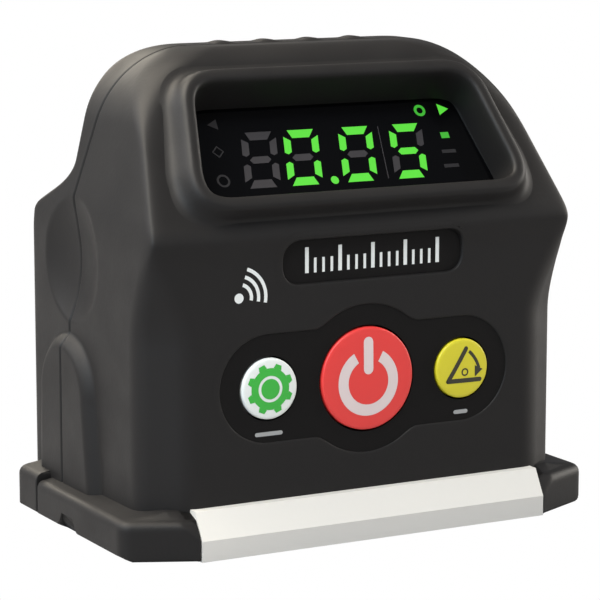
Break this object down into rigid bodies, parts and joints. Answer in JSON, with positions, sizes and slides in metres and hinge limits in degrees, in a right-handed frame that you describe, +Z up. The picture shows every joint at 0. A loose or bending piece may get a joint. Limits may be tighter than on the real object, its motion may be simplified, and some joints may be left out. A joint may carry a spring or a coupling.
{
  "type": "digital angle gauge",
  "caption": "Pocket digital angle gauge with a shouldered dark housing, hooded leaning display, keypad of sprung keys, bevelled aluminium reference base and lift-off battery cover.",
  "frame": {"origin": "middle of the reference face that the gauge stands on", "axes": "+X along the base, +Y from the display to the battery cover, +Z up"},
  "size_m": [0.0544, 0.033, 0.0496],
  "materials": {
    "housing": "fine-grained satin black",
    "aluminium": "drawn and clear anodised, satin",
    "magnet": "nickel plated",
    "screw_steel": "zinc plated",
    "window": "polished smoke-dark clear plastic",
    "display": "dark segment display",
    "ribbon": "amber film",
    "overlay": "black satin film",
    "key_red": "red with a pale printed sign",
    "key_white": "white with a green printed sign",
    "key_yellow": "yellow with a dark printed sign",
    "switch": "moulded grey",
    "board": "green solder resist",
    "chip": "moulded black",
    "shield": "tinned shield can",
    "cell": "printed sleeve",
    "contact": "nickel-washed spring sheet",
    "gasket": "soft foam"
  },
  "bodies": {
    "housing": {"base_plate": "aluminium", "base_magnets": "magnet", "base_screws": "screw_steel", "front_shell": "housing", "rear_shell": "housing", "shell_screws": "screw_steel", "display_window": "window", "display_module": "display", "display_ribbon": "ribbon", "keypad_overlay": "overlay", "key_switches": "switch", "main_board": "board", "board_screws": "screw_steel", "tilt_sensor": "chip", "controller_chip": "chip", "radio_module": "shield", "lower_cell": "cell", "upper_cell": "cell", "cell_contacts": "contact", "window_gasket": "gasket"},
    "power_key": {"power_key": "key_red"},
    "hold_key": {"hold_key": "key_white"},
    "zero_key": {"zero_key": "key_yellow"},
    "battery_cover": {"battery_cover": "housing"}
  },
  "joints": [
    {"name": "power_press", "type": "slide", "parent": "housing", "child": "power_key", "axis": [0, 1, 0], "range_m": [0, 0.0004], "stiffness_N_per_m": 600},
    {"name": "hold_press", "type": "slide", "parent": "housing", "child": "hold_key", "axis": [0, 1, 0], "range_m": [0, 0.0004], "stiffness_N_per_m": 600},
    {"name": "zero_press", "type": "slide", "parent": "housing", "child": "zero_key", "axis": [0, 1, 0], "range_m": [0, 0.0004], "stiffness_N_per_m": 600},
    {"name": "cover_lift", "type": "slide", "parent": "housing", "child": "battery_cover", "axis": [0, 1, 0], "range_m": [0, 0.02]}
  ]
}
